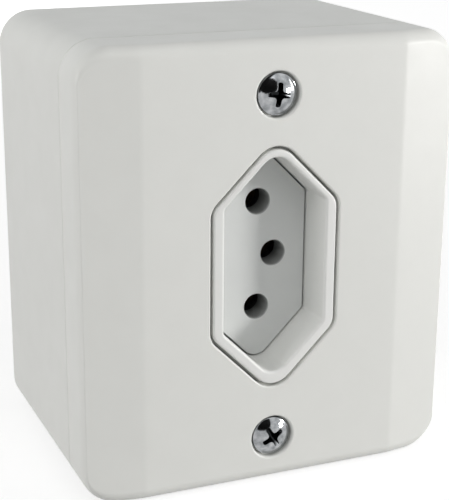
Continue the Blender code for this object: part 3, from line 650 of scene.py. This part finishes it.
COVER_FINISH = moulded_plastic("cover_plastic", (0.795, 0.80, 0.77), (0.78, 0.785, 0.755), 0.42)
COLLAR_FINISH = moulded_plastic("collar_plastic", (0.83, 0.835, 0.815), (0.815, 0.82, 0.80), 0.45)
BOX_FINISH = moulded_plastic("box_plastic", (0.79, 0.795, 0.765), (0.775, 0.78, 0.75), 0.44)
BLOCK_FINISH = moulded_plastic("block_plastic", (0.09, 0.09, 0.095), (0.07, 0.07, 0.075), 0.55)
FLOOR_FINISH = moulded_plastic("recess_floor_plastic", (0.705, 0.72, 0.71), (0.69, 0.705, 0.695), 0.42)
# Painted shade: the floor darkens inside the pin holes
FLOOR_FINISH.darken(PAINTED_HOLE_SHADE, (0.06, 0.068, 0.066))
SCREW_FINISH = metal("screw_plating", (0.48, 0.49, 0.50), (0.22, 0.23, 0.24), 0.05, 0.13)
# Painted shade: the screws darken inside their cross recesses
SCREW_FINISH.darken(PAINTED_RECESS_SHADE, (0.015, 0.016, 0.017))
NUT_FINISH = metal("nut_plating", (0.62, 0.63, 0.64), (0.50, 0.51, 0.52), 0.28, 0.45)
# Brass whose tone is kept dark as painted shade, so that the contacts seen deep in the pin holes read dark
BRASS_FINISH = metal("rolled_brass", (0.32, 0.25, 0.14), (0.22, 0.175, 0.10), 0.35, 0.5, (1.0, 6.0, 1.0))


# Front cover

def facet_tree():
    """Slopes back the face beyond each ridge: flat, then a short curve, then a straight slope to the side.

    With p the way past the start of the curve and s the ridge's softness, the drop is the slope times
    min(p, 2s) squared over 4s, plus the slope times what of p lies beyond 2s.
    """
    tree, given, result = tree_with_inputs(
        "sloped_facets",
        ("Face Place", "Last Depth", "Half Width", "Panel Half", "Facet Drop", "Ridge Softness"),
    )
    place = own_places(tree)
    soft = given["Ridge Softness"]
    across = number(tree, "SUBTRACT", given["Half Width"], given["Panel Half"])
    slope = number(tree, "DIVIDE", given["Facet Drop"], across)
    curve_start = number(tree, "SUBTRACT", given["Panel Half"], soft)
    from_start = number(tree, "SUBTRACT", number(tree, "ABSOLUTE", place["X"]), curve_start)
    past = number(tree, "MAXIMUM", from_start, 0.0)
    curve_width = number(tree, "MULTIPLY", soft, 2.0)
    on_curve = number(tree, "MINIMUM", past, curve_width)
    squared = number(tree, "MULTIPLY", on_curve, on_curve)
    curved = number(tree, "DIVIDE", squared, number(tree, "MULTIPLY", soft, 4.0))
    straight = number(tree, "MAXIMUM", number(tree, "SUBTRACT", past, curve_width), 0.0)
    drop = number(tree, "MULTIPLY", slope, number(tree, "ADD", curved, straight))
    depth = number(tree, "SUBTRACT", place["Y"], given["Face Place"])
    on_face = number(tree, "LESS_THAN", depth, given["Last Depth"])
    offset = vector(tree, Y=number(tree, "MULTIPLY", drop, on_face))
    close_tree(tree, given, result, shifted(tree, given["Geometry"], offset))
    return tree


def slope_facets(piece, tree, last_depth):
    """Divides the face along its ridges, then slopes back what lies no deeper than last_depth."""
    work = bmesh.new()
    work.from_mesh(piece.data)
    for side in (-1, 1):
        for step in range(RIDGE_STEPS + 1):
            x = side * (PANEL_HALF + RIDGE_SOFTNESS * (2 * step / RIDGE_STEPS - 1))
            bmesh.ops.bisect_plane(
                work,
                geom=work.verts[:] + work.edges[:] + work.faces[:],
                dist=CUT_TOLERANCE,
                plane_co=(x, 0, 0),
                plane_no=(1, 0, 0),
            )
    work.to_mesh(piece.data)
    work.free()
    values = {
        "Face Place": FRONT_Y,
        "Last Depth": last_depth + DEPTH_MARGIN,
        "Half Width": HALF_WIDTH,
        "Panel Half": PANEL_HALF,
        "Facet Drop": FACET_DROP,
        "Ridge Softness": RIDGE_SOFTNESS,
        "Material": COVER_FINISH.material,
    }
    grow(piece, tree, values)


def cover_skin():
    """Outside of the cover, from the rounded front edge to the softened edge at the seam."""
    front = edge_sections(front_outline, FRONT_EDGE_RADIUS, 0.0, FILLET_STEPS)
    seam = edge_sections(cover_outline, SEAM_EDGE_RADIUS, MOUTH_DEPTH - SEAM_GAP, towards_wall=False)
    return loft("moulded_front_cover", front + seam)


def cover_hollow():
    """Inside of the cover, open towards the box."""
    front = edge_sections(lambda inset: cover_outline(COVER_WALL + inset), INNER_EDGE_RADIUS, COVER_WALL)
    return loft("cover_hollow", [*front, (cover_outline(COVER_WALL), MOUTH_DEPTH + OVERRUN)])


def make_front_cover():
    """Shell with sloped facets, its tongue, ribs, bosses and posts, then the opening and the screw wells."""
    cover = cover_skin()
    hollow = cover_hollow()
    facets = facet_tree()
    slope_facets(cover, facets, FRONT_EDGE_RADIUS)
    slope_facets(hollow, facets, COVER_WALL + INNER_EDGE_RADIUS)
    combine(cover, hollow, "DIFFERENCE")

    inside_wall = COVER_WALL / 2
    tongue = (cover_outline(TONGUE_OUTSIDE), cover_outline(TONGUE_INSIDE))
    combine(cover, tube("tongue", *tongue, MOUTH_DEPTH - TONGUE_ROOT, TONGUE_DEPTH), "UNION")
    reach = FLANGE_REACH + FIT_GAP
    seat_rib = (collar_outline(reach + SEAT_RIB_WALL), collar_outline(reach))
    combine(cover, tube("seat_rib", *seat_rib, inside_wall, FLANGE_BACK_DEPTH), "UNION")
    for height in SCREW_HEIGHTS:
        boss = circle(BOSS_RADIUS, 0.0, height)
        combine(cover, bar("screw_boss", boss, inside_wall, TONGUE_DEPTH), "UNION")
    for x in (-POST_X, POST_X):
        combine(cover, bar("post", circle(POST_RADIUS, x), inside_wall, TONGUE_DEPTH), "UNION")
        hole = circle(POST_HOLE_RADIUS, x)
        combine(cover, bar("post_hole", hole, POST_HOLE_FRONT, TONGUE_DEPTH + OVERRUN), "DIFFERENCE")

    opening = rounded_mouth(
        "opening", lambda out: collar_outline(COLLAR_GAP + out), 0.0, FLANGE_BACK_DEPTH, OPENING_EDGE_RADIUS
    )
    combine(cover, opening, "DIFFERENCE")
    for height in SCREW_HEIGHTS:
        well = rounded_mouth(
            "well", lambda out: circle(WELL_RADIUS + out, 0.0, height), 0.0, WELL_DEPTH, WELL_EDGE_RADIUS
        )
        combine(cover, well, "DIFFERENCE")
        shank_hole = circle(SHANK_RADIUS + FIT_GAP, 0.0, height)
        combine(cover, bar("bore", shank_hole, WELL_DEPTH / 2, TONGUE_DEPTH + OVERRUN), "DIFFERENCE")
    smooth(cover)
    finished(cover, COVER_FINISH.material, "white_plastic", "front_cover")


# Collar and recess floor

def make_socket_collar():
    """One closed ring about the recess: shoulder, front land, rounded lip, drafted wall and flange."""
    shoulder = collar_outline(SHOULDER_REACH, SHOULDER_RISE)
    outer_edge = edge_sections(lambda inset: collar_outline(-inset), COLLAR_EDGE_RADIUS, 0.0)
    sections = [
        (shoulder, FLANGE_FRONT_DEPTH),
        (shoulder, SHOULDER_DEPTH),
        (collar_outline(0.0), SHOULDER_DEPTH),
        *reversed(outer_edge),
        *edge_sections(recess_outline, LIP_RADIUS, 0.0, FILLET_STEPS),
        (recess_outline(-RECESS_DRAFT), COLLAR_BACK_DEPTH),
        (collar_outline(0.0), COLLAR_BACK_DEPTH),
        (collar_outline(0.0), FLANGE_BACK_DEPTH),
        (collar_outline(FLANGE_REACH), FLANGE_BACK_DEPTH),
        (collar_outline(FLANGE_REACH), FLANGE_FRONT_DEPTH),
    ]
    collar = loft("hexagonal_collar", sections, True)
    smooth(collar)
    finished(collar, COLLAR_FINISH.material, "white_plastic", "socket_collar")


def make_recess_floor():
    """Plate with an island that fills the foot of the recess, and three pin holes whose walls carry painted
    shade.
    """
    island = recess_outline(-RECESS_DRAFT - FIT_GAP)
    floor = bar("recess_floor", island, FLOOR_DEPTH, PLATE_FRONT_DEPTH + OVERRUN)
    plate = rectangle(FACE_HIGH.x, FACE_HIGH.z, PLATE_CORNER_RADIUS)
    combine(floor, bar("plate", plate, PLATE_FRONT_DEPTH, PLATE_BACK_DEPTH), "UNION")
    for x, z in PIN_HOLES:
        hole = rounded_mouth(
            "pin_hole",
            lambda out: circle(PIN_HOLE_RADIUS + out, x, z),
            FLOOR_DEPTH,
            PLATE_BACK_DEPTH + OVERRUN,
            PIN_HOLE_LEAD,
        )
        combine(floor, hole, "DIFFERENCE")
    # Painted shade: each pin hole's wall darkens from its mouth to the plate's back
    painted_shade = floor.data.attributes.new(PAINTED_HOLE_SHADE, "FLOAT", "POINT")
    for index, vertex in enumerate(floor.data.vertices):
        share = (vertex.co.y - FRONT_Y - FLOOR_DEPTH) / (PLATE_BACK_DEPTH - FLOOR_DEPTH)
        reach = min(hypot(vertex.co.x - x, vertex.co.z - z) for x, z in PIN_HOLES)
        if reach < PIN_HOLE_RADIUS + PIN_HOLE_LEAD / 2 and share > 0.0:
            painted_shade.data[index].value = MOUTH_PAINTED_SHADE + (BACK_PAINTED_SHADE - MOUTH_PAINTED_SHADE) * share
    smooth(floor)
    finished(floor, FLOOR_FINISH.material, "recess_floor_plastic", "socket_face")


# Surface box

def make_box():
    """Hollow box with softened edges, a screw tower above and below, a cable entry and two fixing slots."""
    mouth = edge_sections(cover_outline, SEAM_EDGE_RADIUS, MOUTH_DEPTH)
    back = edge_sections(cover_outline, WALL_EDGE_RADIUS, WALL_DEPTH, towards_wall=False)
    box = loft("surface_box", mouth + back)
    floor_depth = WALL_DEPTH - BOX_WALL
    foot = edge_sections(
        lambda inset: cover_outline(BOX_WALL + inset), BOX_INNER_RADIUS, floor_depth, towards_wall=False
    )
    hollow = loft("box_hollow", [(cover_outline(BOX_WALL), MOUTH_DEPTH - OVERRUN), *foot])
    combine(box, hollow, "DIFFERENCE")
    for end, height in zip((1, -1), SCREW_HEIGHTS):
        inner = height - end * TOWER_HALF
        outer = end * (HALF_HEIGHT - REBATE_WALL / 2)
        size = (TOWER_HALF, abs(outer - inner) / 2, TOWER_CORNER_RADIUS)
        outline = rectangle(*size, EDGE_STEPS, 0.0, (inner + outer) / 2)
        combine(box, bar("tower", outline, REBATE_DEPTH - OVERRUN / 2, WALL_DEPTH - BOX_WALL / 2), "UNION")
    rebate = bar("rebate", cover_outline(REBATE_WALL), MOUTH_DEPTH - OVERRUN, REBATE_DEPTH)
    combine(box, rebate, "DIFFERENCE")
    for end, height in zip((1, -1), SCREW_HEIGHTS):
        shank_hole = circle(SHANK_RADIUS + FIT_GAP, 0.0, height)
        reach = HEAD_SEAT_DEPTH + SHANK_LENGTH + OVERRUN
        combine(box, bar("tower_bore", shank_hole, REBATE_DEPTH - OVERRUN, reach), "DIFFERENCE")
        inner = height - 2 * end * TOWER_HALF
        outer = height + end * NUT_SLOT_HALF
        size = (NUT_SLOT_HALF, abs(outer - inner) / 2, NUT_SLOT_CORNER_RADIUS)
        outline = rectangle(*size, EDGE_STEPS, 0.0, (inner + outer) / 2)
        combine(box, bar("nut_slot", outline, NUT_SLOT_FRONT, NUT_SLOT_BACK), "DIFFERENCE")
    holes = [rectangle(*CABLE_ENTRY, CABLE_ENTRY_RADIUS, SIDE_STEPS, 0.0, CABLE_ENTRY_HEIGHT)]
    for x in (-FIXING_SLOT_X, FIXING_SLOT_X):
        holes.append(rectangle(*FIXING_SLOT, FIXING_SLOT_RADIUS, SIDE_STEPS, x))
    for outline in holes:
        combine(box, bar("hole", outline, floor_depth - OVERRUN, WALL_DEPTH + OVERRUN), "DIFFERENCE")
    smooth(box)
    finished(box, BOX_FINISH.material, "white_plastic", "back_box")


# Cover screws

def dome_level(reach):
    """Height of the head's dome above its seat, at a distance from the screw's middle."""
    sphere = (HEAD_RADIUS ** 2 + HEAD_DOME ** 2) / (2 * HEAD_DOME)
    return HEAD_TOP - sphere + sqrt(max(sphere * sphere - reach * reach, 0.0))


def cross_cutter():
    """Tapers from above the dome to a narrow foot, as a cross-head driver does."""
    loops = []
    for share, sunk in CROSS_SECTIONS:
        width = CROSS_WIDTH * (CROSS_LEAST_WIDTH + (1.0 - CROSS_LEAST_WIDTH) * share)
        outline = cross(CROSS_REACH * share, width, CROSS_FILLET * share)
        loops.append([(x, y, HEAD_TOP - sunk * CROSS_DEPTH) for x, y in outline])
    return skin("cross_recess", loops)


def screw_profile():
    """Half section of a screw as (distance from the middle, level), from the crown to the tip."""
    profile = []
    for step in range(DOME_STEPS + 1):
        reach = (HEAD_RADIUS - HEAD_EDGE_RADIUS) * step / DOME_STEPS
        profile.append((reach, dome_level(reach)))
    profile += [
        (HEAD_RADIUS - HEAD_EDGE_INSET, HEAD_RIM + HEAD_EDGE_RISE),
        (HEAD_RADIUS, HEAD_RIM - HEAD_EDGE_RISE),
        (HEAD_RADIUS, HEAD_FOOT_CHAMFER),
        (HEAD_RADIUS - HEAD_FOOT_CHAMFER, 0.0),
        (SHANK_CORE_RADIUS, 0.0),
    ]
    shank = SHANK_LENGTH - SHANK_TIP
    rings = int(shank / THREAD_PITCH * RINGS_A_PITCH)
    profile += [(SHANK_CORE_RADIUS, -shank * ring / rings) for ring in range(1, rings + 1)]
    profile.append((0.0, -SHANK_LENGTH))
    return profile


def screw_body():
    """One screw at the origin, its head's seat at Z = 0 and its face towards +Z, with the cross recess and
    painted shade down its walls.
    """
    points = [(reach, 0.0, level) for reach, level in screw_profile()]
    mesh = bpy.data.meshes.new("screw_profile")
    mesh.from_pydata(points, [(index, index + 1) for index in range(len(points) - 1)], [])
    body = add_object("cover_screws", mesh)
    turn = body.modifiers.new("turn", "SCREW")
    turn.steps = SCREW_SIDES
    turn.render_steps = SCREW_SIDES
    turn.use_merge_vertices = True
    turn.merge_threshold = MERGE_DISTANCE
    bake(body)
    combine(body, cross_cutter(), "DIFFERENCE")
    # Painted shade: the cross recess darkens with its depth below the dome
    painted_shade = body.data.attributes.new(PAINTED_RECESS_SHADE, "FLOAT", "POINT")
    for index, vertex in enumerate(body.data.vertices):
        reach = vertex.co.xy.length
        if reach < PAINTED_SHADE_REACH and vertex.co.z > HEAD_TOP - PAINTED_SHADE_DEPTH:
            below = dome_level(reach) - vertex.co.z
            painted_shade.data[index].value = min(below / FULL_PAINTED_SHADE_DEPTH, 1.0)
    return body


def threaded_pair_tree():
    """Raises a thread on the incoming screw's shank, then stands one screw at each height.

    The ridge climbs one pitch a turn and runs out over one pitch at both ends.
    """
    heights_and_turns = ("Upper Height", "Lower Height", "Upper Turn", "Lower Turn")
    thread = ("Thread Height", "Thread Top", "Thread End", "Pitch", "Seat Depth")
    tree, given, result = tree_with_inputs("threaded_pair", heights_and_turns + thread)

    x, y, z = own_places(tree)
    pitch = given["Pitch"]
    squares = number(tree, "ADD", number(tree, "MULTIPLY", x, x), number(tree, "MULTIPLY", y, y))
    turns = number(tree, "DIVIDE", number(tree, "ARCTAN2", y, x), 2 * pi)
    phase = number(tree, "FRACT", number(tree, "SUBTRACT", number(tree, "DIVIDE", z, pitch), turns))
    slant = number(tree, "ABSOLUTE", number(tree, "SUBTRACT", number(tree, "MULTIPLY", phase, 2.0), 1.0))
    ridge = number(tree, "SUBTRACT", 1.0, slant)
    from_top = number(tree, "DIVIDE", number(tree, "SUBTRACT", given["Thread Top"], z), pitch)
    from_end = number(tree, "DIVIDE", number(tree, "SUBTRACT", z, given["Thread End"]), pitch)
    nearest = number(tree, "MINIMUM", from_top, from_end)
    run_out = number(tree, "MAXIMUM", number(tree, "MINIMUM", nearest, 1.0), 0.0)
    rise = number(tree, "MULTIPLY", number(tree, "MULTIPLY", ridge, run_out), given["Thread Height"])
    share = number(tree, "DIVIDE", rise, number(tree, "SQRT", squares))
    offset = vector(tree, X=number(tree, "MULTIPLY", x, share), Y=number(tree, "MULTIPLY", y, share))
    threaded = shifted(tree, given["Geometry"], offset)

    span = number(tree, "SUBTRACT", given["Lower Height"], given["Upper Height"])
    line = {
        "Count": 2,
        "Start Location": vector(tree, Y=given["Upper Height"], Z=given["Seat Depth"]),
        "Offset": vector(tree, Y=span),
    }
    places = add_node(tree, "GeometryNodeMeshLine", line).outputs["Mesh"]
    screw = add_node(tree, "GeometryNodeInputIndex").outputs["Index"]
    turn = ranged(tree, screw, (0.0, 1.0), (given["Upper Turn"], given["Lower Turn"]))
    rotation = add_node(tree, "FunctionNodeEulerToRotation", {"Euler": vector(tree, Z=turn)})
    copies = {"Points": places, "Instance": threaded, "Rotation": rotation.outputs["Rotation"]}
    pair = add_node(tree, "GeometryNodeInstanceOnPoints", copies).outputs["Instances"]
    close_tree(tree, given, result, pair)
    return tree


def make_cover_screws():
    """Both cover screws as one piece, turned from standing up to facing forward."""
    pair = screw_body()
    values = {
        "Upper Height": SCREW_HEIGHTS[0],
        "Lower Height": SCREW_HEIGHTS[1],
        "Upper Turn": UPPER_TURN,
        "Lower Turn": LOWER_TURN,
        "Thread Height": SHANK_RADIUS - SHANK_CORE_RADIUS,
        "Thread Top": -THREAD_TOP,
        "Thread End": SHANK_TIP - SHANK_LENGTH,
        "Pitch": THREAD_PITCH,
        "Seat Depth": -(FRONT_Y + HEAD_SEAT_DEPTH),
        "Material": SCREW_FINISH.material,
    }
    grow(pair, threaded_pair_tree(), values)
    smooth(pair)
    pair.data.transform(Matrix.Rotation(pi / 2, 4, "X"))
    finished(pair, SCREW_FINISH.material, "plated_steel", "upper_cover_screw", "lower_cover_screw")


# Pieces kept from the frame

def dress_inner_pieces():
    """Finishes for the pieces inside the box, which keep their built shape."""
    finishes = (
        ("_contact", BRASS_FINISH),
        ("_terminal", BRASS_FINISH),
        ("_screw", NUT_FINISH),
        ("_nut", NUT_FINISH),
        ("_block", BLOCK_FINISH),
    )
    for name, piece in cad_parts.items():
        for ending, finish in finishes:
            if name.endswith(ending):
                paint(piece, finish.material)


# Studio

def matt_material(name, tone):
    """Grey without gloss, for what stands around the object, and its shader's inputs."""
    material, inputs = new_material(name)
    inputs["Base Color"].default_value = (tone, tone, tone, 1.0)
    inputs["Roughness"].default_value = 1.0
    inputs["Specular IOR Level"].default_value = 0.0
    return material, inputs


def seen_directly(tree):
    """1 for rays from the camera and for reflected or refracted ones, which show the background."""
    path = add_node(tree, "ShaderNodeLightPath").outputs
    mirrored = number(tree, "MAXIMUM", path["Is Camera Ray"], path["Is Glossy Ray"])
    return number(tree, "MAXIMUM", mirrored, path["Is Transmission Ray"])


def make_floor():
    """White floor, as pale as the photograph's ground: its glow rises where the lamps' light runs out."""
    work = bmesh.new()
    bmesh.ops.create_grid(work, x_segments=1, y_segments=1, size=FLOOR_REACH)
    bmesh.ops.translate(work, verts=work.verts, vec=(0.0, 0.0, BOX_LOW.z - FLOOR_DROP))
    mesh = bpy.data.meshes.new("studio_floor")
    work.to_mesh(mesh)
    work.free()
    material, inputs = matt_material("studio_white", FLOOR_TONE)
    tree = material.node_tree
    place = add_node(tree, "ShaderNodeTexCoord").outputs["Object"]
    distance = add_node(tree, "ShaderNodeVectorMath", {"Vector": place}, operation="LENGTH").outputs["Value"]
    glow = ranged(tree, distance, GLOW_REACH, (NEAR_GLOW, FAR_GLOW))
    inputs["Emission Color"].default_value = (1.0, 1.0, 1.0, 1.0)
    tree.links.new(number(tree, "MULTIPLY", glow, seen_directly(tree)), inputs["Emission Strength"])
    mesh.materials.append(material)
    add_object("studio_floor", mesh)


def make_world():
    """Pale surround, white where it is seen and dimmer where it only lights."""
    world = bpy.data.worlds.new("studio")
    bpy.context.scene.world = world
    world.use_nodes = True
    tree = world.node_tree
    inputs = tree.nodes["Background"].inputs
    inputs["Color"].default_value = (*AMBIENT_TONE, 1.0)
    tree.links.new(ranged(tree, seen_directly(tree), (0.0, 1.0), (AMBIENT, 1.0)), inputs["Strength"])


def make_dark_card():
    """Dark card up and to the left in front, as the photographer stands there: only reflections show it."""
    width, height, radius = CARD_SIZE
    work = bmesh.new()
    work.faces.new([work.verts.new((x, z, 0.0)) for x, z in rectangle(width, height, radius, SIDE_STEPS)])
    card = new_piece("dark_card", work)
    facing = (Vector(LAMP_TARGET) - Vector(CARD_PLACE)).to_track_quat("Z", "Y").to_matrix().to_4x4()
    card.data.transform(Matrix.Translation(CARD_PLACE) @ facing)
    paint(card, matt_material("card_black", CARD_TONE)[0])
    card.visible_camera = False
    card.visible_diffuse = False
    card.visible_shadow = False


def add_softbox(name, place, size, power):
    """Square area lamp that faces the object."""
    lamp = bpy.data.lights.new(name, "AREA")
    lamp.shape = "SQUARE"
    lamp.size = size
    lamp.energy = power
    lamp.color = LAMP_TONE
    item = add_object(name, lamp)
    item.location = place
    item.rotation_euler = (Vector(LAMP_TARGET) - Vector(place)).to_track_quat("-Z", "Y").to_euler()


def make_camera():
    """Camera that was solved from the photograph's straight edges."""
    data = bpy.data.cameras.new("photo_camera")
    data.sensor_width = SENSOR_WIDTH
    data.lens = FOCAL_PIXELS * SENSOR_WIDTH / PHOTO_HEIGHT
    camera = add_object("photo_camera", data)
    turn = (
        Matrix.Rotation(-CAMERA_HEADING, 4, "Z")
        @ Matrix.Rotation(pi / 2 + CAMERA_PITCH, 4, "X")
        @ Matrix.Rotation(CAMERA_ROLL, 4, "Z")
    )
    camera.matrix_world = Matrix.Translation(CAMERA_PLACE) @ turn
    bpy.context.scene.camera = camera


make_front_cover()
make_socket_collar()
make_recess_floor()
make_box()
make_cover_screws()
dress_inner_pieces()
make_floor()
make_world()
make_dark_card()
for name, place, size, power in LAMPS:
    add_softbox(name, place, size, power)
make_camera()
bpy.context.scene.view_settings.view_transform = "Standard"
